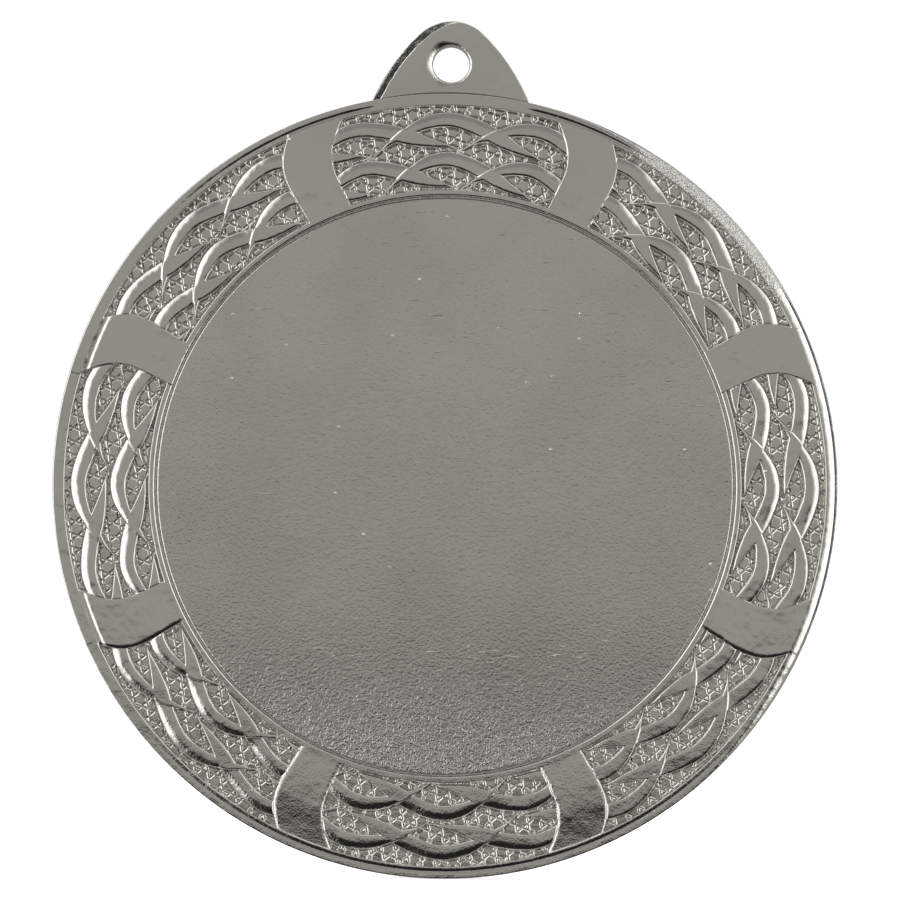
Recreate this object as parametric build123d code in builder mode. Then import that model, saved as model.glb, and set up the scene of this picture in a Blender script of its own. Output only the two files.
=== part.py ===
from build123d import *
import os
from math import cos, radians, sin

# A struck metal award medal that hangs by the hole in its ear.
# Origin: centre of the ribbon hole, midway through the ear. +X is right, +Z is up, and -Y is the way the
# face looks.

# Back plate
disc_radius = 35.0
plate_thickness = 1.6
plate_edge_round = 0.5
hole_to_disc_centre = 37.58

# Ear, a rounded triangle that stands on the disc and is thicker than it, so that its face is nearly level
# with the border's outer rim
ear_thickness = 2.3
ear_tip_height = 3.87  # above the hole's centre
ear_tip_radius = 4.12
ear_tip_half_angle = 43.7  # degrees from the top of the tip to where a flank starts
ear_foot = (7.18, 33.8)  # where a flank ends inside the disc, from the disc's centre
ear_edge_round = 0.45
ear_seat_radius = 34.97  # the ear's thick part ends here, just clear of the border ring
hole_radius = 1.63
hole_lip_round = 0.4

# Reverse of the back plate: a rim and a bead frame two plain sunk fields
reverse_field_depth = 0.2
reverse_rim_inner_radius = 33.6
reverse_bead_outer_radius = 26.3
reverse_bead_inner_radius = 25.5

# Border ring, in heights above the front of the back plate
ring_inner_radius = 25.87
ring_outer_radius = 34.93
ring_edge_round = 0.4
ground_height = 0.25
inner_rim_height = 0.75
inner_rim_outer_radius = 26.45
outer_rim_height = 0.8
outer_rim_inner_radius = 33.85
rim_side_lean = 0.15  # how far each rim's side runs out over its height

# Straps that cross the border, one on each side of every main axis
strap_height = 0.86
strap_side_taper = 25
strap_radii = (26.2, 29.8, 34.1)  # inner end, middle, outer end
strap_near_angles = (19.4, 20.0, 16.6)  # degrees from the main axis at those radii
strap_far_angles = (28.3, 28.7, 25.9)

# Woven strands: two rows of arches, each one lapping over the next
strand_count = 24
strand_row_step = 3.52
strand_height = 0.45  # above the ground
strand_lean = 1.1  # degrees that lift each arch's left end over its neighbour
strand_crest_radius = 33.4
strand_crest_width = 1.5
strand_shoulder = (32.15, 7.5)  # radius, and degrees from the crest, where the crest's arc meets a tail
strand_inner_shoulder = (31.1, 6.0)
strand_tip = (29.8, 14.6)

# Centre plate, and the adhesive film that holds it
adhesive_radius = 25.5
adhesive_thickness = 0.1
centre_plate_radius = 25.7
centre_plate_thickness = 0.4
centre_plate_edge_round = 0.12

ear_front = ear_thickness / 2
plate_back = -ear_thickness / 2
plate_front = plate_back + plate_thickness
disc_centre = (0, 0, -hole_to_disc_centre)
disc_axis = Axis(disc_centre, (0, -1, 0))


def disc_plane(height, turn=0.0, lean=0.0):
    """A plane that faces the front, centred on the disc and this far in front of the ear's middle. It
    leans about its own upward direction, then turns clockwise about the disc's axis."""
    upright = Plane(origin=(0, -height, -hole_to_disc_centre), x_dir=(1, 0, 0), z_dir=(0, -1, 0))
    return upright.rotated((0, 0, lean)).rotated((0, turn, 0))


def polar_point(radius, angle):
    """A point on a disc plane, this many degrees clockwise from the plane's upward direction."""
    return (radius * sin(radians(angle)), radius * cos(radians(angle)))


# Back plate: the disc and its thicker ear, with a round hole and a rounded edge
with BuildPart() as back_plate:
    with BuildSketch(disc_plane(plate_back)):
        Circle(disc_radius)
    extrude(amount=plate_thickness)

    with BuildSketch(disc_plane(plate_back)):
        with BuildLine():
            tip_centre = (0, hole_to_disc_centre + ear_tip_height - ear_tip_radius)
            tip = CenterArc(tip_centre, ear_tip_radius, 90 - ear_tip_half_angle, 2 * ear_tip_half_angle)
            flank = TangentArc(tip @ 0, ear_foot, tangent=(tip % 0) * -1)
            mirror(flank, about=Plane.YZ)
            Line(ear_foot, (-ear_foot[0], ear_foot[1]))
        make_face()
        Circle(ear_seat_radius, mode=Mode.SUBTRACT)
    extrude(amount=ear_thickness)
    fillet(back_plate.faces().sort_by(Axis.Y)[-1].outer_wire().edges(), plate_edge_round)
    ear_face = back_plate.faces().sort_by(Axis.Y)[0]
    seat_edge = ear_face.edges().sort_by(Axis.Z)[0]
    fillet(ear_face.edges() - [seat_edge], ear_edge_round)

    with BuildSketch(disc_plane(plate_back)):
        with Locations((0, hole_to_disc_centre)):
            Circle(hole_radius)
    extrude(amount=ear_thickness, mode=Mode.SUBTRACT)
    hole_wall = back_plate.faces().filter_by(GeomType.CYLINDER).sort_by_distance((0, 0, 0))[0]
    fillet(hole_wall.edges().filter_by(GeomType.CIRCLE), hole_lip_round)

    with BuildSketch(disc_plane(plate_back)):
        Circle(reverse_rim_inner_radius)
        Circle(reverse_bead_outer_radius, mode=Mode.SUBTRACT)
        Circle(reverse_bead_inner_radius)
    extrude(amount=reverse_field_depth, mode=Mode.SUBTRACT)

# Border ring: a turned band with a rim at each side, crossed by straps and filled with woven strands
with BuildPart() as border_ring:
    with BuildSketch(Plane(origin=disc_centre, x_dir=(1, 0, 0), z_dir=(0, 0, -1))):
        with BuildLine():
            Polyline(
                (ring_inner_radius, plate_front),
                (ring_inner_radius, plate_front + inner_rim_height),
                (inner_rim_outer_radius, plate_front + inner_rim_height),
                (inner_rim_outer_radius + rim_side_lean, plate_front + ground_height),
                (outer_rim_inner_radius - rim_side_lean, plate_front + ground_height),
                (outer_rim_inner_radius, plate_front + outer_rim_height),
                (ring_outer_radius, plate_front + outer_rim_height),
                (ring_outer_radius, plate_front),
                close=True,
            )
        make_face()
    revolve(axis=disc_axis)
    rim_edge = border_ring.edges().filter_by(GeomType.CIRCLE).group_by(SortBy.RADIUS)[-1].sort_by(Axis.Y)[0]
    fillet(rim_edge, ring_edge_round)

    for main_axis in range(4):
        with BuildSketch(disc_plane(plate_front, turn=90 * main_axis)):
            with BuildLine():
                near_side = ThreePointArc([polar_point(*end) for end in zip(strap_radii, strap_near_angles)])
                far_side = ThreePointArc([polar_point(*end) for end in zip(strap_radii, strap_far_angles)])
                Line(near_side @ 0, far_side @ 0)
                Line(near_side @ 1, far_side @ 1)
            make_face()
            mirror(about=Plane.YZ)
        extrude(amount=strap_height, taper=strap_side_taper)

    # Each arch reaches down through the ring, and the ring's base is then cut level
    arches = []
    strand_top = plate_front + ground_height + strand_height
    for row in range(2):
        inward = row * strand_row_step
        for strand in range(strand_count):
            turn = strand * 360 / strand_count
            with BuildSketch(disc_plane(strand_top, turn=turn, lean=strand_lean)):
                with BuildLine():
                    crest = ThreePointArc(
                        polar_point(strand_shoulder[0] - inward, -strand_shoulder[1]),
                        polar_point(strand_crest_radius - inward, 0),
                        polar_point(strand_shoulder[0] - inward, strand_shoulder[1]),
                    )
                    underside = ThreePointArc(
                        polar_point(strand_inner_shoulder[0] - inward, -strand_inner_shoulder[1]),
                        polar_point(strand_crest_radius - strand_crest_width - inward, 0),
                        polar_point(strand_inner_shoulder[0] - inward, strand_inner_shoulder[1]),
                    )
                    left_tip = polar_point(strand_tip[0] - inward, -strand_tip[1])
                    right_tip = polar_point(strand_tip[0] - inward, strand_tip[1])
                    Polyline(crest @ 0, left_tip, underside @ 0)
                    Polyline(crest @ 1, right_tip, underside @ 1)
                make_face()
            arches.append(extrude(amount=-plate_thickness, mode=Mode.PRIVATE))
    add(arches)
    split(bisect_by=disc_plane(plate_front))

# Adhesive film under the centre plate
with BuildPart() as centre_adhesive:
    with BuildSketch(disc_plane(plate_front)):
        Circle(adhesive_radius)
    extrude(amount=adhesive_thickness)

# Centre plate: the plain round plate that an emblem is stuck on
with BuildPart() as centre_plate:
    with BuildSketch(disc_plane(plate_front + adhesive_thickness)):
        Circle(centre_plate_radius)
    extrude(amount=centre_plate_thickness)
    fillet(centre_plate.faces().sort_by(Axis.Y)[0].edges(), centre_plate_edge_round)

pieces = {
    "back_plate": back_plate,
    "border_ring": border_ring,
    "centre_adhesive": centre_adhesive,
    "centre_plate": centre_plate,
}
os.makedirs("parts", exist_ok=True)
for name, piece in pieces.items():
    piece.part.label = name
    export_step(piece.part, f"parts/{name}.step")
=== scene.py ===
import math

import bpy
import numpy as np
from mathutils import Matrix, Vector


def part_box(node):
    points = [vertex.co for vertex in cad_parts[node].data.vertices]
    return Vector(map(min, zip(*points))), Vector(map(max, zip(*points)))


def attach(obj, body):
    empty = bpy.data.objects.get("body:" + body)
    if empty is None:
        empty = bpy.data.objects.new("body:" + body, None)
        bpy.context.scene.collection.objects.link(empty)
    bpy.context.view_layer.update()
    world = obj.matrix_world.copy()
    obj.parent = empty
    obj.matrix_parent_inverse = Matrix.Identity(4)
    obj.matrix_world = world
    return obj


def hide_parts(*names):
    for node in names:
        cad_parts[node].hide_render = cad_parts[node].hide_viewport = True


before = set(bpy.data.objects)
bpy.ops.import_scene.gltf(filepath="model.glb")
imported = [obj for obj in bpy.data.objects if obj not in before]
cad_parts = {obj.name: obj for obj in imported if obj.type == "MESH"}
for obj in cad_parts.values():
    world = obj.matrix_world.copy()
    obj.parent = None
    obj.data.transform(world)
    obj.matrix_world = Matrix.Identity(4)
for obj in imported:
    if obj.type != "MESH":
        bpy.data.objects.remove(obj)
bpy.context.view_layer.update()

MM = 0.001  # sizes below are in millimetres, and meshes are in metres
quick_step = 1


def box_mm(node):
    """A CAD node's lowest and highest corners, in millimetres."""
    return [np.array(corner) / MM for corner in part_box(node)]


plate_low, plate_high = box_mm("back_plate")
ring_low, ring_high = box_mm("border_ring")
centre_low, centre_high = box_mm("centre_plate")

disc_radius = (plate_high[0] - plate_low[0]) / 2
disc_z = plate_low[2] + disc_radius  # height of the disc's centre; the ribbon hole is at the origin
plate_back_y = plate_high[1]
ear_front_y = plate_low[1]
ring_base_y = ring_high[1]
ring_height = ring_high[1] - ring_low[1]
ring_outer = (ring_high[0] - ring_low[0]) / 2
centre_radius = (centre_high[0] - centre_low[0]) / 2

# --- shared shape helpers -------------------------------------------------------------------------


def ease(value, low, high):
    """0 below low, 1 above high, and a smooth rise between them."""
    t = np.clip((value - low) / (high - low), 0, 1)
    return t * t * (3 - 2 * t)


def curve_through(x, xs, ys):
    """A smooth curve through a few points (cubic Hermite with averaged slopes), level outside them."""
    xs, ys = np.array(xs, float), np.array(ys, float)
    slopes = np.gradient(ys, xs)
    x = np.clip(x, xs[0], xs[-1])
    i = np.clip(np.searchsorted(xs, x, side="right") - 1, 0, len(xs) - 2)
    width = xs[i + 1] - xs[i]
    t = (x - xs[i]) / width
    return (
        (1 + 2 * t) * (1 - t) ** 2 * ys[i]
        + t * (1 - t) ** 2 * width * slopes[i]
        + t * t * (3 - 2 * t) * ys[i + 1]
        + t * t * (t - 1) * width * slopes[i + 1]
    )


def blend_max(a, b, radius):
    """The higher of two height fields, with a fillet of about this radius where they meet."""
    near = np.maximum(radius - np.abs(a - b), 0)
    return np.maximum(a, b) + near * near / (4 * radius)


def round_edge(distance, width):
    """From 0 at an edge to 1 at this distance inside it, along a quarter of an ellipse."""
    inside = np.clip(distance / width, 0, 1)
    return np.sqrt(1 - (1 - inside) ** 2)


def ripples(x, z, wavelength, seed, waves=14):
    """Gentle unevenness between about -1 and 1, made of plane waves near one wavelength."""
    dice = np.random.default_rng(seed)
    total = np.zeros_like(x)
    for _ in range(waves):
        heading, phase = dice.uniform(0, 2 * math.pi, 2)
        length = wavelength * dice.uniform(0.7, 1.5)
        total += np.cos((x * math.cos(heading) + z * math.sin(heading)) * 2 * math.pi / length + phase)
    return total / math.sqrt(waves)


def section_body(angles, radii, heights, closed):
    """Vertices (mm) and faces of a body made of loops round the disc's axis. radii and heights hold one row
    per loop and one column per angle (degrees clockwise from the top, seen from the front); heights are
    measured towards the front from y = 0. A closed section joins its last loop to its first, and an open one
    ends in a point at both ends."""
    rows, columns = radii.shape
    turn = np.radians(angles)
    vertices = np.stack([radii * np.sin(turn), -heights, disc_z + radii * np.cos(turn)], -1).reshape(-1, 3)
    here = np.arange(columns)
    after = np.roll(here, -1)
    first = np.arange(rows if closed else rows - 1)[:, None]
    second = (first + 1) % rows
    quads = np.stack(
        np.broadcast_arrays(first * columns + here, first * columns + after, second * columns + after,
                            second * columns + here), -1).reshape(-1, 4)
    faces = quads.tolist()
    if not closed:
        tips = np.array([[0, -heights[0].mean(), disc_z], [0, -heights[-1].mean(), disc_z]])
        front_tip, back_tip = len(vertices), len(vertices) + 1
        vertices = np.vstack([vertices, tips])
        last = (rows - 1) * columns
        faces += [[front_tip, b, a] for a, b in zip(here.tolist(), after.tolist())]
        faces += [[back_tip, last + a, last + b] for a, b in zip(here.tolist(), after.tolist())]
    return vertices, faces


def make_piece(name, smooth_body, faceted_body=None):
    """One object from a smooth-shaded body and, if given, a second one whose facets keep their edges."""
    vertices, faces = smooth_body
    smooth = len(faces)
    if faceted_body:
        more_vertices, more_faces = faceted_body
        faces = faces + (np.array(more_faces) + len(vertices)).tolist()
        vertices = np.vstack([vertices, more_vertices])
    mesh = bpy.data.meshes.new(name)
    mesh.from_pydata((vertices * MM).tolist(), [], faces)
    mesh.update()
    mesh.polygons.foreach_set("use_smooth", np.arange(len(faces)) < smooth)
    piece = bpy.data.objects.new(name, mesh)
    bpy.context.scene.collection.objects.link(piece)
    return piece


# --- border ring: rims, straps, woven strands and ground ------------------------------------------

RING_BAND = 9.06  # the ring's width, from its inner edge to its outer edge
FILLET = 0.04  # where straps, arches and rims meet

STRANDS = 24  # arches in each of the two rows
ROW_STEP = 3.52  # how much further in the second row lies
STRAND_ANGLES = (-14, -11, -8, -4, 0, 4, 8, 12, 16.5)  # degrees from an arch's crest
STRAND_MIDDLE = (29.62, 30.6, 31.42, 32.35, 32.62, 32.1, 31.27, 30.55, 30.1)  # radius of its middle
STRAND_WIDTH = (0, 0.34, 0.95, 1.35, 1.47, 1.62, 1.62, 0.9, 0)
STRAND_TOP = 0.83
STRAND_WALL = 0.10  # width of the steep edge of an arch
STRAND_BEVEL = (0.18, 0.85)  # width of the sloping outer shoulder, on the tails and on the crest
STRAND_FALL = 0.52  # slope where that shoulder meets the edge
STRAND_INNER_BEVEL = 0.36  # width and slope of the inner shoulder
STRAND_INNER_FALL = 0.50
STRAND_WORN_AT = 132  # degrees; the outer shoulders are smallest here
STRAND_TAIL_DROP = (0.04, 0.05)  # how far the first and the last tail sink
LAP_DROP = 0.08  # how far an arch dips where the next one laps over it
FAR_AWAY = 9.0  # a distance that stands for no arch near by

STRAP_RADII = (26.4, 28.4, 30.2, 31.8, 33.3, 34.1)
STRAP_NEAR = (19.3, 19.8, 19.9, 19.0, 17.2, 16.0)  # degrees from the nearest main axis
STRAP_FAR = (28.3, 28.5, 28.6, 28.0, 26.4, 25.2)
STRAP_SIDE = 0.12  # width of the steep edge
STRAP_BEVEL = (0.24, 0.55)  # width of the sloping sides, on the upper and on the lower straps
STRAP_FALL = 0.42  # slope where a side meets the edge
STRAP_NEAR_SHARE = 0.3  # of that slope, on the near sides of the upper straps
STRAP_TOP = 0.85
STRAP_END_DROP = (0.088, 0.038)  # how far a strap's inner and outer ends sink
STRAP_FOOT_DROP = 0.12  # how much further the outer ends at the foot sink
STRAP_CREASE, STRAP_CREASE_AT, STRAP_CREASE_WIDTH = 0.07, 33.6, 0.24  # across the straps on the left

RIM_OUTER_TOP = 0.8
RIM_OUTER_FROM = 33.85
RIM_SHOULDER = (0.13, 1.05)  # width of the slope towards the outer edge, on the left and on the right
RIM_SHOULDER_FALL = 0.70  # its slope at the edge
RIM_CHAMFER = (0.04, 0.24)  # width of the flat that cuts the edge itself, on the left and on the right
RIM_CHAMFER_FALL = 0.42  # its slope
RIM_GROOVE, RIM_GROOVE_AT, RIM_GROOVE_WIDTH = 0.06, 34.27, 0.15  # a faint groove at the top and the foot
RIM_INNER_TOP = 0.75
RIM_INNER_TO = 26.42
RIM_WALL = (0.12, 0.06)  # how far a rim's wall spreads into the band and into the rim
RING_INNER_ROUND = (0.18, 0.12)  # width and drop of the rounding over the recess

GROUND_TOP = 0.33
GROUND_PITCH = 1.10  # between parallel grooves
GROUND_TURN = 9.6  # degrees, direction across the first set of grooves
GROUND_WALL = 0.1375  # width of a groove's wall
GROUND_DEPTH = (0.108, 0.044, 0.0)  # at a groove's bottom, half-way up its wall, and at its top
GROUND_FLOOR = 0.20  # the ring's own surface under the studs
GROUND_OVERLAP = 0.09  # how far the studs run on under what borders them


def slope_off(distance, width, fall):
    """Drop of a shoulder that steepens towards an edge, where its slope is the given fall."""
    return 0.5 * fall * width * (1 - np.clip(distance / width, 0, 1)) ** 2


def strand_path(from_crest, radius, inward):
    """Distances inside an arch's outer and inner edges, at an angle from its crest."""
    middle = curve_through(from_crest, STRAND_ANGLES, STRAND_MIDDLE) - inward
    width = curve_through(from_crest, STRAND_ANGLES, STRAND_WIDTH)
    beyond_tip = np.maximum(STRAND_ANGLES[0] - from_crest, from_crest - STRAND_ANGLES[-1]).clip(0)
    along = np.radians(1.0) * radius
    nudge = 0.5
    slope = (curve_through(from_crest + nudge, STRAND_ANGLES, STRAND_MIDDLE)
             - curve_through(from_crest - nudge, STRAND_ANGLES, STRAND_MIDDLE)) / (2 * nudge * along)
    tilt = 1 / np.sqrt(1 + slope * slope)
    to_outer = (middle + width / 2 - radius) * tilt - beyond_tip * along
    to_inner = (radius - middle + width / 2) * tilt - beyond_tip * along
    return to_outer, to_inner


def strand_row(angle, radius, inward):
    """Height of one row of lapping arches, and the distance outside their edges (negative on them)."""
    pitch = 360 / STRANDS
    worn = ease(np.cos(np.radians(angle - STRAND_WORN_AT)), 0.75, 0.95)
    height = np.zeros_like(radius)
    outside = np.full_like(radius, FAR_AWAY)
    for step in (1, 0, -1):
        from_crest = (angle + pitch / 2) % pitch - pitch / 2 + step * pitch
        to_outer, to_inner = strand_path(from_crest, radius, inward)
        next_outer, _ = strand_path(from_crest - pitch, radius, inward)
        wide = ease(from_crest, -11, -3) * (1 - ease(from_crest, 5, 9))
        bevel = (STRAND_BEVEL[0] + (STRAND_BEVEL[1] - STRAND_BEVEL[0]) * wide) * (1 - 0.5 * worn)
        outer_fall = slope_off(to_outer, bevel, STRAND_FALL * (1 - 0.4 * worn))
        fall = outer_fall + slope_off(to_inner, STRAND_INNER_BEVEL, STRAND_INNER_FALL)
        dip = LAP_DROP * ease(from_crest, 0.5, 6) * ease(-next_outer, -0.12, 0.02)
        top = STRAND_TOP - dip - fall - STRAND_TAIL_DROP[1] * ease(from_crest, 10, 16)
        top = top - STRAND_TAIL_DROP[0] * ease(-from_crest, 9, 14)
        arch = top * round_edge(to_outer, STRAND_WALL) * round_edge(to_inner, STRAND_WALL)
        height = np.maximum(height, arch)
        outside = np.minimum(outside, -np.minimum(to_outer, to_inner))
    return height, outside


def straps(angle, radius):
    """Height of the eight smooth straps, and the distance outside their edges (negative on them)."""
    from_axis = np.abs((angle + 45) % 90 - 45)
    along = np.radians(1.0) * radius
    to_near = (from_axis - curve_through(radius, STRAP_RADII, STRAP_NEAR)) * along
    to_far = (curve_through(radius, STRAP_RADII, STRAP_FAR) - from_axis) * along
    inside = np.minimum(to_near, to_far)
    top = STRAP_TOP - STRAP_END_DROP[1] * ease(radius, 30.5, 33.9)
    top = top - STRAP_END_DROP[0] * (1 - ease(radius, 26.2, 29.5))
    down = -np.cos(np.radians(angle))
    lower = ease(down, 0.2, 0.5)
    bevel = STRAP_BEVEL[0] + (STRAP_BEVEL[1] - STRAP_BEVEL[0]) * lower
    near_share = STRAP_NEAR_SHARE + (1 - STRAP_NEAR_SHARE) * lower
    side_fall = STRAP_FALL * np.where(to_near < to_far, near_share, 1)
    at_left = ease(-np.sin(np.radians(angle)), 0.7, 0.9)
    crease = STRAP_CREASE * at_left * np.exp(-((radius - STRAP_CREASE_AT) / STRAP_CREASE_WIDTH) ** 2)
    top = top - slope_off(inside, bevel, side_fall) - crease
    top = top - STRAP_FOOT_DROP * ease(down, 0.75, 0.9) * ease(radius, 30.5, 34.2)
    height = top * round_edge(inside, STRAP_SIDE)
    return height, -inside


def unevenness(x, z):
    """The slight waviness of a struck face, in millimetres."""
    return 0.008 * ripples(x, z, 2.4, 11) + 0.003 * ripples(x, z, 0.8, 12)


def border_relief(angle, radius):
    """Height of straps, arches and rims, and the distance outside their edges (negative on them)."""
    outer_row, outside_outer = strand_row(angle, radius, 0)
    inner_row, outside_inner = strand_row(angle, radius, ROW_STEP)
    strap, outside_strap = straps(angle, radius)
    to_rims = np.minimum(RIM_OUTER_FROM - radius, radius - RIM_INNER_TO)
    outside = np.minimum(np.minimum(outside_outer, outside_inner), np.minimum(outside_strap, to_rims))
    rows = np.maximum(outer_row, inner_row) * ease(outside_strap, -0.2, -0.05)
    height = np.maximum(rows, GROUND_FLOOR)
    height = blend_max(height, strap, FILLET)
    beyond, within = RIM_WALL
    outer_rim = RIM_OUTER_TOP * ease(radius, RIM_OUTER_FROM - beyond, RIM_OUTER_FROM + within)
    inner_rim = RIM_INNER_TOP * (1 - ease(radius, RIM_INNER_TO - within, RIM_INNER_TO + beyond))
    height = blend_max(height, np.maximum(outer_rim, inner_rim), FILLET)
    return height, outside


def ring_height_field(angle, radius):
    """Height of the border's face above the ring's base, with its edges sloped and rounded."""
    right, up = np.sin(np.radians(angle)), np.cos(np.radians(angle))
    height, _ = border_relief(angle, radius)
    height = height + unevenness(radius * right, radius * up)
    height = np.minimum(height, ring_height)
    rightness = ease(right, 0.1, 0.8) * (1 - ease(-up, 0.45, 0.8))
    to_edge = ring_outer - radius
    shoulder = RIM_SHOULDER[0] + (RIM_SHOULDER[1] - RIM_SHOULDER[0]) * rightness
    chamfer = RIM_CHAMFER[0] + (RIM_CHAMFER[1] - RIM_CHAMFER[0]) * rightness
    drop = slope_off(to_edge, shoulder, RIM_SHOULDER_FALL)
    drop = drop + RIM_CHAMFER_FALL * np.maximum(chamfer - to_edge, 0)
    beside_ear = ease(np.abs((angle + 180) % 360 - 180), 10, 14)
    grooved = ease(np.abs(up), 0.6, 0.9) * beside_ear
    drop = drop + RIM_GROOVE * grooved * np.exp(-((radius - RIM_GROOVE_AT) / RIM_GROOVE_WIDTH) ** 2)
    round_width, round_drop = RING_INNER_ROUND
    inner_round = round_drop * (1 - round_edge(radius - ring_inner, round_width))
    return height - drop - inner_round


def stud_ground(rows_per_pitch):
    """The ground between the arches: flat six-sided and three-sided studs between three sets of straight
    grooves, with one more groove along whatever they meet. Its vertices lie in rows along the grooves."""
    step = GROUND_PITCH / rows_per_pitch
    count = int(RIM_OUTER_FROM * 1.2 / step)
    rows = np.arange(-count, count + 1)
    first_set, second_set = np.meshgrid(rows, rows, indexing="ij")
    headings = np.radians([GROUND_TURN, GROUND_TURN + 60])
    across = np.array([np.cos(headings), np.sin(headings)]).T
    place = np.linalg.inv(across) @ np.array([first_set.ravel(), second_set.ravel()]) * step
    x, z = place.reshape(2, *first_set.shape)
    radius = np.hypot(x, z)
    in_band = (radius > RIM_INNER_TO - 0.1) & (radius < RIM_OUTER_FROM + 0.1)
    outside = np.full(x.shape, -1.0)
    outside[in_band] = border_relief(np.degrees(np.arctan2(x[in_band], z[in_band])), radius[in_band])[1]
    kept = outside > -GROUND_OVERLAP
    nearest = np.maximum(outside, 0)
    for line in (first_set, second_set, second_set - first_set):
        share = line / rows_per_pitch - 0.5
        nearest = np.minimum(nearest, np.abs(share - np.round(share)) * GROUND_PITCH)
    depth = np.interp(nearest / GROUND_WALL, (0, 0.5, 1), GROUND_DEPTH)
    height = GROUND_TOP - depth + unevenness(x, z) - ring_base_y
    number = np.cumsum(kept.ravel()).reshape(kept.shape) - 1
    corners = (number[:-1, :-1], number[1:, :-1], number[1:, 1:], number[:-1, 1:])
    present = (kept[:-1, :-1], kept[1:, :-1], kept[1:, 1:], kept[:-1, 1:])
    faces = []
    for a, b, c in ((0, 2, 1), (0, 3, 2)):
        whole = present[a] & present[b] & present[c]
        faces += np.stack([corners[a][whole], corners[b][whole], corners[c][whole]], -1).tolist()
    return np.stack([x[kept], -height[kept], disc_z + z[kept]], -1), faces


ring_inner = ring_outer - RING_BAND
columns = STRANDS * 156
ring_angles = np.arange(columns) * 360 / columns
inner_zone, outer_zone = 0.28, 0.7  # bands by the edges where the loops lie closer together
fine_step = 0.05
ring_stations = np.concatenate([
    ring_inner + inner_zone * (np.linspace(0, 1, 10, endpoint=False) ** 1.5),
    np.arange(ring_inner + inner_zone, ring_outer - outer_zone, fine_step),
    ring_outer - outer_zone * (1 - np.linspace(0, 1, 20)) ** 1.5,
])
angle_grid, radius_grid = np.meshgrid(ring_angles, ring_stations)
face = ring_height_field(angle_grid, radius_grid)
base = np.zeros((1, columns))
ring_radii = np.vstack([radius_grid, base + ring_outer, base + ring_inner])
ring_heights = np.vstack([face, base, base]) - ring_base_y
ring_piece = make_piece("woven_border", section_body(ring_angles, ring_radii, ring_heights, closed=True),
                        stud_ground(16))

# --- back plate: disc and ear ---------------------------------------------------------------------

EAR_TIP_RADIUS = 4.12
EAR_TIP_HALF_ANGLE = 43.7  # degrees from the top of the tip to where a flank starts
EAR_FLANK_RADIUS = 18.0
EAR_HALF_ANGLE = 12.6  # degrees; the ear lies within this angle of the top
EAR_SEAT = 34.97  # radius from which the loops lie close together, out to the blank's edge
EAR_BEVEL = (0.09, 0.69)  # width of the sloping edge, on the right and on the left
EAR_BEVEL_FALL = (0.50, 0.95)  # its slope, on the right and on the left
EAR_TIP_EXTRA = 0.06  # how much wider that edge is at the tip
EAR_EDGE_ROUND = (0.07, 0.35)  # width and drop of the last rounding
HOLE_RADIUS = 1.63
HOLE_LIP = (0.32, 0.77)  # width of the front lip, on the right and on the left
HOLE_LIP_FALL = 0.56  # its slope where it meets the hole
HOLE_LIP_ROUND = (0.05, 0.2)  # width and drop of the last rounding
HOLE_BACK_LIP = 0.45  # radius of the rounding at the back of the hole
EDGE_ROUND = 0.5  # radius of the back edge's rounding
PLATE_GAP = 0.02  # how far the front lies behind the CAD plate's, so that it stays under the pieces on it


def ear_curve():
    """The ear's outline on its right side as angles and distances from the disc's centre: a round tip and a
    slightly bulging flank."""
    tip_turn = np.radians(np.linspace(0, EAR_TIP_HALF_ANGLE, 200))
    flank_turn = np.radians(EAR_TIP_HALF_ANGLE + np.linspace(0, 30, 400)[1:])
    tip_height = plate_high[2] - disc_z - EAR_TIP_RADIUS
    offset = EAR_FLANK_RADIUS - EAR_TIP_RADIUS
    x = np.concatenate([EAR_TIP_RADIUS * np.sin(tip_turn),
                        EAR_FLANK_RADIUS * np.sin(flank_turn) - offset * np.sin(tip_turn[-1])])
    z = np.concatenate([EAR_TIP_RADIUS * np.cos(tip_turn),
                        EAR_FLANK_RADIUS * np.cos(flank_turn) - offset * np.cos(tip_turn[-1])]) + tip_height
    return np.degrees(np.arctan2(x, z)), np.hypot(x, z)


def plate_outline(angle):
    """Distance from the disc's centre to the blank's edge, at this angle."""
    away = np.abs((angle + 180) % 360 - 180)
    ear_angles, ear_reach = ear_curve()
    return np.maximum(np.interp(away, ear_angles, ear_reach), disc_radius)


def distance_to_outline(x, z):
    """Distance from points of the ear to the blank's edge; x and z are measured from the disc's centre."""
    around = np.radians(np.arange(-20, 20, 0.1))
    reach = plate_outline(np.degrees(around))
    edge_x, edge_z = reach * np.sin(around), reach * np.cos(around)
    return np.sqrt(((x[..., None] - edge_x) ** 2 + (z[..., None] - edge_z) ** 2).min(-1))


plate_angles = np.concatenate([
    np.arange(-EAR_HALF_ANGLE, EAR_HALF_ANGLE, 0.1 * quick_step),
    np.arange(EAR_HALF_ANGLE, 360 - EAR_HALF_ANGLE, 0.4 * quick_step),
])
outline = plate_outline(plate_angles)
ear_columns = np.abs((plate_angles + 180) % 360 - 180) < EAR_HALF_ANGLE
outward = np.concatenate([np.linspace(0, 0.82, 60 // quick_step, endpoint=False),
                          np.linspace(0.82, 1, 30 // quick_step)])
rim_radii = EAR_SEAT + 0.01 + (outline - EAR_SEAT - 0.01) * outward[:, None]
plate_front_height = -ring_base_y
ear_front_height = -ear_front_y
back_height = -plate_back_y


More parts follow.
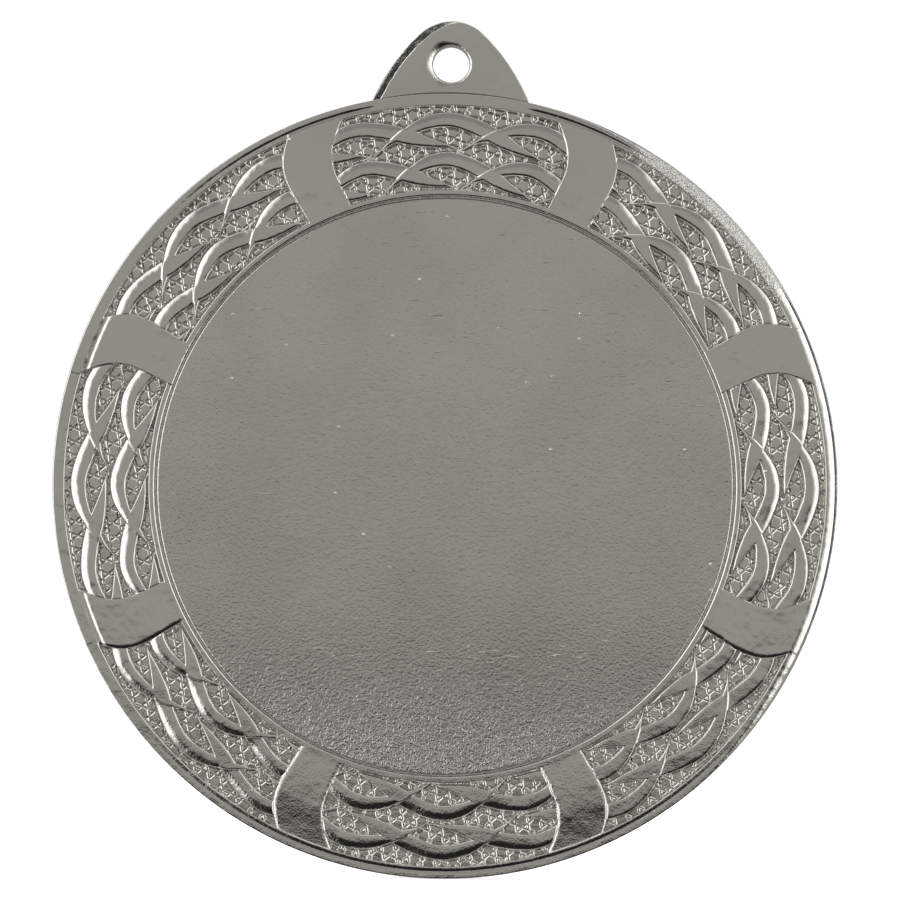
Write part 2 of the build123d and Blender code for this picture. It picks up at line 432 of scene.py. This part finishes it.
def plate_edge(x, z, hole_distance, radii):
    """How far the ear's front falls below its face, in two parts: towards its edge, where the slope is wide
    on the left, and towards the hole."""
    distance = np.where(ear_columns, distance_to_outline(x, z), disc_radius - radii)
    leftness = ease(-x, -1.2, 2.2)
    bevel = EAR_BEVEL[0] + (EAR_BEVEL[1] - EAR_BEVEL[0]) * leftness
    bevel = bevel + EAR_TIP_EXTRA * ease(z - disc_radius, 3.5, 6)
    bevel = bevel * (1 + 0.02 * ripples(x, z, 1.1, 21) + 0.003 * ripples(x, z, 0.3, 25))
    slope = EAR_BEVEL_FALL[0] + (EAR_BEVEL_FALL[1] - EAR_BEVEL_FALL[0]) * leftness
    round_width, round_drop = EAR_EDGE_ROUND
    fall = slope * bevel * np.clip(1 - distance / bevel, 0, 1)
    fall = fall + round_drop * (1 - round_edge(distance, round_width))
    lip_width = HOLE_LIP[0] + (HOLE_LIP[1] - HOLE_LIP[0]) * ease(-x, -0.3, 1.2)
    round_width, round_drop = HOLE_LIP_ROUND
    to_hole = hole_distance - HOLE_RADIUS
    lip = slope_off(to_hole, lip_width, HOLE_LIP_FALL)
    lip = lip + round_drop * (1 - round_edge(to_hole, round_width))
    return fall, lip


turn = np.radians(plate_angles)
rim_x, rim_z = rim_radii * np.sin(turn), rim_radii * np.cos(turn)
hole_distance = np.hypot(rim_x, rim_z + disc_z)
fall, lip = plate_edge(rim_x, rim_z, hole_distance, rim_radii)
ear_share = ease(outline - disc_radius, 0.02, 0.10)
step = (ear_front_height - plate_front_height) * ear_share
uneven = 0.008 * ripples(rim_x, rim_z, 1.6, 22)
ear_rim = plate_front_height + np.maximum(step - fall, 0.0) - PLATE_GAP + uneven - lip
disc_rim = plate_front_height - PLATE_GAP - 0.1 * (1 - round_edge(disc_radius - rim_radii, 0.1))
rim_front = np.where(ear_columns, ear_rim, disc_rim)
rim_front = np.where(ear_columns & (fall > step), plate_front_height + (step - fall), rim_front)

back_rim_radii = EAR_SEAT + (outline - EAR_SEAT) * outward[::-1, None]
back_x, back_z = back_rim_radii * np.sin(turn), back_rim_radii * np.cos(turn)
back_edge = np.where(ear_columns, distance_to_outline(back_x, back_z), disc_radius - back_rim_radii)
to_hole_edge = np.hypot(back_x, back_z + disc_z) - HOLE_RADIUS
back_lip = HOLE_BACK_LIP * (1 - round_edge(to_hole_edge, HOLE_BACK_LIP))
back_rim = back_height + EDGE_ROUND * (1 - round_edge(back_edge, EDGE_ROUND)) + back_lip
back_rim = back_rim + 0.006 * ripples(back_x, back_z, 1.6, 23)

REVERSE_DEPTH = 0.2
REVERSE_RIM, REVERSE_BEAD_OUT, REVERSE_BEAD_IN = 33.6, 26.3, 25.5  # radii of the steps on the reverse
reverse_stations = np.concatenate([
    np.arange(34.9, 33.2, -0.06),  # close together over each step, and wider apart on the fields
    np.arange(33.2, 26.7, -0.5),
    np.arange(26.6, 25.2, -0.05),
    np.arange(25.1, 0.5, -0.8),
])


def reverse_height(radius, x, z):
    """The reverse in front of its highest level: a rim and a bead round two sunk fields."""
    half = 0.12  # of a step's width
    field = ease(REVERSE_RIM - radius, -half, half) * ease(radius - REVERSE_BEAD_OUT, -half, half)
    centre_field = ease(REVERSE_BEAD_IN - radius, -half, half)
    return back_height + REVERSE_DEPTH * np.maximum(field, centre_field) + 0.006 * ripples(x, z, 3.0, 24)


reverse_radii = np.broadcast_to(reverse_stations[:, None], (len(reverse_stations), len(plate_angles)))
reverse_face = reverse_height(reverse_radii, reverse_radii * np.sin(turn), reverse_radii * np.cos(turn))
front_stations = np.array([2.0, 15.0, 30.0, 34.0, EAR_SEAT])
front_radii = np.broadcast_to(front_stations[:, None], (len(front_stations), len(plate_angles)))
front_face = np.full(front_radii.shape, plate_front_height - PLATE_GAP)
plate_piece = make_piece("eared_back_plate", section_body(
    plate_angles, np.vstack([front_radii, rim_radii, back_rim_radii, reverse_radii]),
    np.vstack([front_face, rim_front, back_rim, reverse_face]), closed=False))


def cut_round_hole(piece, radius):
    """Cuts a straight round hole through a piece at the origin, along Y."""
    bpy.ops.mesh.primitive_cylinder_add(vertices=96, radius=radius * MM, depth=10 * MM,
                                        rotation=(math.pi / 2, 0, 0))
    cutter = bpy.context.object
    cut = piece.modifiers.new("ribbon_hole", "BOOLEAN")
    cut.operation, cut.solver, cut.object = "DIFFERENCE", "EXACT", cutter
    bpy.context.view_layer.update()
    shaped = bpy.data.meshes.new_from_object(piece.evaluated_get(bpy.context.evaluated_depsgraph_get()))
    piece.modifiers.clear()
    piece.data = shaped
    bpy.data.objects.remove(cutter)


cut_round_hole(plate_piece, HOLE_RADIUS)

# --- centre plate ---------------------------------------------------------------------------------

CENTRE_EDGE = 0.18  # radius of the edge's rounding
centre_top = -centre_low[1]
centre_bottom = -centre_high[1]
centre_angles = np.arange(0, 360, 0.5 * quick_step)
centre_stations = np.concatenate([np.arange(1, centre_radius - 1, 0.7),
                                  centre_radius - 1 + np.linspace(0, 1 - CENTRE_EDGE, 8, endpoint=False),
                                  centre_radius - CENTRE_EDGE * (1 - np.linspace(0, 1, 9)) ** 1.6])
centre_radii = np.broadcast_to(centre_stations[:, None], (len(centre_stations), len(centre_angles)))
turn = np.radians(centre_angles)
centre_x, centre_z = centre_radii * np.sin(turn), centre_radii * np.cos(turn)
centre_face = centre_top - CENTRE_EDGE * (1 - round_edge(centre_radius - centre_radii, CENTRE_EDGE))
centre_face = centre_face + 0.006 * (ripples(centre_x, centre_z, 9.0, 31) - 1)
bottom_radii = np.vstack([np.full((1, len(centre_angles)), centre_radius), centre_radii[::12][::-1]])
bottom_face = np.full(bottom_radii.shape, centre_bottom)
centre_piece = make_piece("emblem_plate", section_body(
    centre_angles, np.vstack([centre_radii, bottom_radii]), np.vstack([centre_face, bottom_face]),
    closed=False))

# --- materials ------------------------------------------------------------------------------------


class Nodes:
    """A short way to write a node tree."""

    def __init__(self, tree):
        self.tree = tree

    def add(self, kind, **settings):
        node = self.tree.nodes.new(kind)
        for key, value in settings.items():
            setattr(node, key, value)
        return node

    def link(self, source, target):
        if isinstance(source, (int, float, tuple)):
            target.default_value = source
        else:
            self.tree.links.new(source, target)

    def math(self, operation, *inputs):
        node = self.add("ShaderNodeMath", operation=operation)
        for value, socket in zip(inputs, node.inputs):
            self.link(value, socket)
        return node.outputs[0]

    def rise(self, value, low, high, to_low=0.0, to_high=1.0):
        """A smooth step from to_low, where the value is low, to to_high, where it is high."""
        node = self.add("ShaderNodeMapRange", interpolation_type="SMOOTHSTEP")
        for item, socket in zip((value, low, high, to_low, to_high), node.inputs):
            self.link(item, socket)
        return node.outputs[0]

    def mix(self, factor, a, b):
        node = self.add("ShaderNodeMix", data_type="RGBA")
        self.link(factor, node.inputs["Factor"])
        self.link(a, node.inputs["A"])
        self.link(b, node.inputs["B"])
        return node.outputs["Result"]

    def distance(self, position, point):
        node = self.add("ShaderNodeVectorMath", operation="DISTANCE")
        self.link(position, node.inputs[0])
        self.link(point, node.inputs[1])
        return node.outputs["Value"]

    def noise(self, position, scale, detail=2.0, roughness=0.5):
        node = self.add("ShaderNodeTexNoise")
        self.link(position, node.inputs["Vector"])
        node.inputs["Scale"].default_value = scale
        node.inputs["Detail"].default_value = detail
        node.inputs["Roughness"].default_value = roughness
        return node.outputs["Fac"]


NICKEL = (0.675, 0.665, 0.635, 1)
NICKEL_DARK = (0.63, 0.62, 0.59, 1)
BUMP_DEPTH = 0.09 * MM
SPECK_SIZE = 0.055  # in the cells' own measure
SPECK_RISE = 0.6  # how much stronger the bump is on a speck
PITS_RADIUS, PITS_ANGLE, PITS_REACH = 34.4, math.radians(44), 11.0  # the middle and size of the pitted zone


def speck_cones(nodes, across, up, share):
    """Small cones, one in each of this share of the cells of a flat cell pattern."""
    flat = nodes.add("ShaderNodeCombineXYZ")
    nodes.link(across, flat.inputs[0])
    nodes.link(up, flat.inputs[1])
    cells = nodes.add("ShaderNodeTexVoronoi", voronoi_dimensions="2D")
    nodes.link(flat.outputs[0], cells.inputs["Vector"])
    cells.inputs["Scale"].default_value = 420
    chosen = nodes.add("ShaderNodeSeparateColor")
    nodes.link(cells.outputs["Color"], chosen.inputs[0])
    picked = nodes.math("GREATER_THAN", chosen.outputs[0], 1 - share)
    return nodes.math("MULTIPLY", nodes.rise(cells.outputs["Distance"], SPECK_SIZE, 0.0), picked)


def scratch_lines(nodes, place):
    """Short thin lines that all run one way."""
    stretched = nodes.add("ShaderNodeMapping")
    nodes.link(place, stretched.inputs["Vector"])
    stretched.inputs["Rotation"].default_value = (0, 0.9, 0)
    stretched.inputs["Scale"].default_value = (0.08, 1, 1)
    return nodes.rise(nodes.noise(stretched.outputs[0], 6000, 1.0), 0.745, 0.775)


def pitted_zone(nodes, place):
    """1 on the outer rim at the upper right, and 0 elsewhere."""
    middle = (PITS_RADIUS * math.sin(PITS_ANGLE) * MM, 0,
              (disc_z + PITS_RADIUS * math.cos(PITS_ANGLE)) * MM)
    to_zone = nodes.distance(place, middle)
    to_centre = nodes.distance(place, (0, 0, disc_z * MM))
    return nodes.math("MULTIPLY", nodes.rise(to_zone, PITS_REACH * MM, PITS_REACH * 0.6 * MM),
                      nodes.rise(to_centre, 33.3 * MM, 33.9 * MM))


def nickel_material(name, roughness, peel, peel_scale, peel_low_part=0.0, specks=0.0, scratches=0.0,
                    pits=0.0):
    """Bright nickel plate over steel: slightly uneven colour and gloss, a fine orange peel that may be
    stronger towards the medal's foot, sparse specks and short scratches where the surface is knocked, and
    pits on the outer rim at the upper right."""
    material = bpy.data.materials.new(name)
    material.use_nodes = True
    nodes = Nodes(material.node_tree)
    shader = material.node_tree.nodes["Principled BSDF"]
    place = nodes.add("ShaderNodeTexCoord").outputs["Object"]
    axes = nodes.add("ShaderNodeSeparateXYZ")
    nodes.link(place, axes.inputs[0])
    patches = nodes.noise(place, 90, 3.0)
    fine = nodes.noise(place, 2600, 3.0)
    shader.inputs["Metallic"].default_value = 1.0
    nodes.link(nodes.mix(nodes.rise(patches, 0.35, 0.7), NICKEL, NICKEL_DARK), shader.inputs["Base Color"])
    gloss = nodes.math("MULTIPLY", nodes.rise(fine, 0.3, 0.75), 0.10)
    nodes.link(nodes.math("ADD", gloss, roughness - 0.04), shader.inputs["Roughness"])
    height = nodes.noise(place, peel_scale, 2.0, 0.6)
    low_part = nodes.rise(axes.outputs["Z"], (disc_z - 8) * MM, (disc_z - 27) * MM)
    strength = nodes.math("ADD", nodes.math("MULTIPLY", low_part, peel_low_part), peel)
    if specks:
        cones = speck_cones(nodes, axes.outputs["X"], axes.outputs["Z"], specks)
        height = nodes.math("ADD", height, cones)
        on_speck = nodes.math("GREATER_THAN", cones, 0.0)
        strength = nodes.math("ADD", strength, nodes.math("MULTIPLY", on_speck, SPECK_RISE))
    if scratches:
        height = nodes.math("ADD", height, nodes.math("MULTIPLY", scratch_lines(nodes, place), scratches))
    if pits:
        strength = nodes.math("ADD", strength, nodes.math("MULTIPLY", pitted_zone(nodes, place), pits))
    bump = nodes.add("ShaderNodeBump")
    bump.inputs["Distance"].default_value = BUMP_DEPTH
    nodes.link(strength, bump.inputs["Strength"])
    nodes.link(height, bump.inputs["Height"])
    nodes.link(bump.outputs["Normal"], shader.inputs["Normal"])
    return material


def adhesive_material():
    """A thin milky bonding film."""
    material = bpy.data.materials.new("bonding_film")
    material.use_nodes = True
    nodes = Nodes(material.node_tree)
    shader = material.node_tree.nodes["Principled BSDF"]
    place = nodes.add("ShaderNodeTexCoord").outputs["Object"]
    cloud = nodes.noise(place, 300, 3.0)
    nodes.link(nodes.mix(cloud, (0.80, 0.77, 0.66, 1), (0.62, 0.58, 0.46, 1)), shader.inputs["Base Color"])
    nodes.link(nodes.rise(cloud, 0.3, 0.7, 0.45, 0.7), shader.inputs["Roughness"])
    return material


pieces = (
    (ring_piece, "border_ring", "border_metal",
     nickel_material("nickel_relief", 0.12, 0.08, 5000, peel_low_part=0.20, specks=0.04, pits=1.6)),
    (plate_piece, "back_plate", "plate_metal",
     nickel_material("nickel_blank", 0.15, 0.20, 5600)),
    (centre_piece, "centre_plate", "centre_metal",
     nickel_material("nickel_satin", 0.11, 0.28, 4800, peel_low_part=0.65, specks=0.08, scratches=0.8)),
)
for piece, node, slot, material in pieces:
    piece.data.materials.append(material)
    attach(piece, "root")
    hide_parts(node)
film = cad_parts["centre_adhesive"]
for film_slot in film.material_slots:
    film_slot.material = adhesive_material()

# --- studio: floor, light and camera --------------------------------------------------------------

floor_mesh = bpy.data.meshes.new("floor")
reach = 2.0  # metres
floor_z = plate_low[2] * MM
floor_mesh.from_pydata([(-reach, -reach, floor_z), (reach, -reach, floor_z), (reach, reach, floor_z),
                        (-reach, reach, floor_z)], [], [(0, 1, 2, 3)])
floor = bpy.data.objects.new("floor", floor_mesh)
bpy.context.scene.collection.objects.link(floor)
floor.visible_glossy = False
floor_material = bpy.data.materials.new("pale_floor")
floor_material.use_nodes = True
floor_shader = floor_material.node_tree.nodes["Principled BSDF"]
floor_shader.inputs["Base Color"].default_value = (0.85, 0.85, 0.85, 1)
floor_shader.inputs["Roughness"].default_value = 0.9
floor_shader.inputs["Emission Color"].default_value = (1, 1, 1, 1)
floor_shader.inputs["Emission Strength"].default_value = 0.72
floor_mesh.materials.append(floor_material)


def studio_world():
    """White to the camera. The metal sees mid grey round the camera, a dim ceiling, and a black table that
    turns grey straight below. On each side stand, from front to back, a white soft box, a dark gap and a
    second box. Overhead, a narrow white band parts the ceiling from a dim back. Straight behind the medal
    is a dim backdrop."""
    world = bpy.data.worlds.new("studio")
    world.use_nodes = True
    nodes = Nodes(world.node_tree)
    output = next(node for node in world.node_tree.nodes if node.type == "OUTPUT_WORLD")
    background = next(node for node in world.node_tree.nodes if node.type == "BACKGROUND")
    way = nodes.add("ShaderNodeSeparateXYZ")
    nodes.link(nodes.add("ShaderNodeTexCoord").outputs["Generated"], way.inputs[0])
    x, y, z = way.outputs
    grey, ceiling, table = (0.415, 0.401, 0.374, 1), (0.30, 0.297, 0.285, 1), (0.02, 0.02, 0.02, 1)
    band, behind_band = (1.15, 1.15, 1.14, 1), (0.38, 0.38, 0.37, 1)
    left_gap, right_gap = (0.03, 0.03, 0.03, 1), (0.11, 0.11, 0.11, 1)
    front_box, back_box = (1.85, 1.85, 1.82, 1), (1.3, 1.3, 1.28, 1)
    behind_box, backdrop = (0.78, 0.78, 0.77, 1), (0.3, 0.3, 0.3, 1)
    to_camera = (1.05, 1.05, 1.05, 1)

    upright = nodes.mix(nodes.rise(z, 0.28, 0.50), grey, ceiling)
    upright = nodes.mix(nodes.rise(y, -0.58, -0.46), upright, band)
    upright = nodes.mix(nodes.rise(y, -0.32, -0.22), upright, behind_band)
    below = nodes.mix(nodes.rise(z, -0.87, -0.79), grey, table)
    upright = nodes.mix(nodes.rise(z, -0.26, -0.05), below, upright)

    gap = nodes.mix(nodes.rise(x, -0.1, 0.1), left_gap, right_gap)
    sideways = nodes.mix(nodes.rise(y, -0.30, -0.22), front_box, gap)
    sideways = nodes.mix(nodes.rise(y, 0.16, 0.26), sideways, back_box)
    sideways = nodes.mix(nodes.rise(y, 0.45, 0.62), sideways, behind_box)
    sideways = nodes.mix(nodes.rise(z, -0.45, -0.32), grey, sideways)

    aside = nodes.math("MAXIMUM", nodes.rise(x, -0.28, -0.55), nodes.rise(x, 0.36, 0.72))
    lit = nodes.mix(aside, upright, sideways)
    lit = nodes.mix(nodes.rise(y, 0.80, 0.95), lit, backdrop)
    seen = nodes.mix(nodes.add("ShaderNodeLightPath").outputs["Is Camera Ray"], lit, to_camera)
    nodes.link(seen, background.inputs["Color"])
    nodes.link(background.outputs[0], output.inputs["Surface"])
    return world


bpy.context.scene.world = studio_world()
bpy.context.scene.view_settings.view_transform = "Standard"

overhead = bpy.data.objects.new("overhead", bpy.data.lights.new("overhead", "AREA"))
overhead.data.shape, overhead.data.size, overhead.data.energy = "DISK", 0.5, 4.0
overhead.location = (0.0, -0.1, 0.5)
overhead.visible_glossy = False
bpy.context.scene.collection.objects.link(overhead)

VIEW_WIDTH = 80.07  # millimetres of the object's plane across the picture
VIEW_RIGHT, VIEW_UP = 0.445, 3.225  # the picture's centre from the disc's centre, in millimetres
VIEW_ROLL = 0.85  # degrees that the medal hangs clockwise
camera_data = bpy.data.cameras.new("camera")
camera_data.lens, camera_data.sensor_width = 160, 36
camera = bpy.data.objects.new("camera", camera_data)
distance = VIEW_WIDTH * MM * camera_data.lens / camera_data.sensor_width
roll = math.radians(VIEW_ROLL)
aim_x = VIEW_RIGHT * math.cos(roll) - VIEW_UP * math.sin(roll)
aim_z = VIEW_RIGHT * math.sin(roll) + VIEW_UP * math.cos(roll)
camera.location = (aim_x * MM, -distance + ear_front_y * MM, (disc_z + aim_z) * MM)
camera.rotation_euler = (math.pi / 2, -roll, 0)
camera_data.clip_start = 0.01
bpy.context.scene.collection.objects.link(camera)
bpy.context.scene.camera = camera
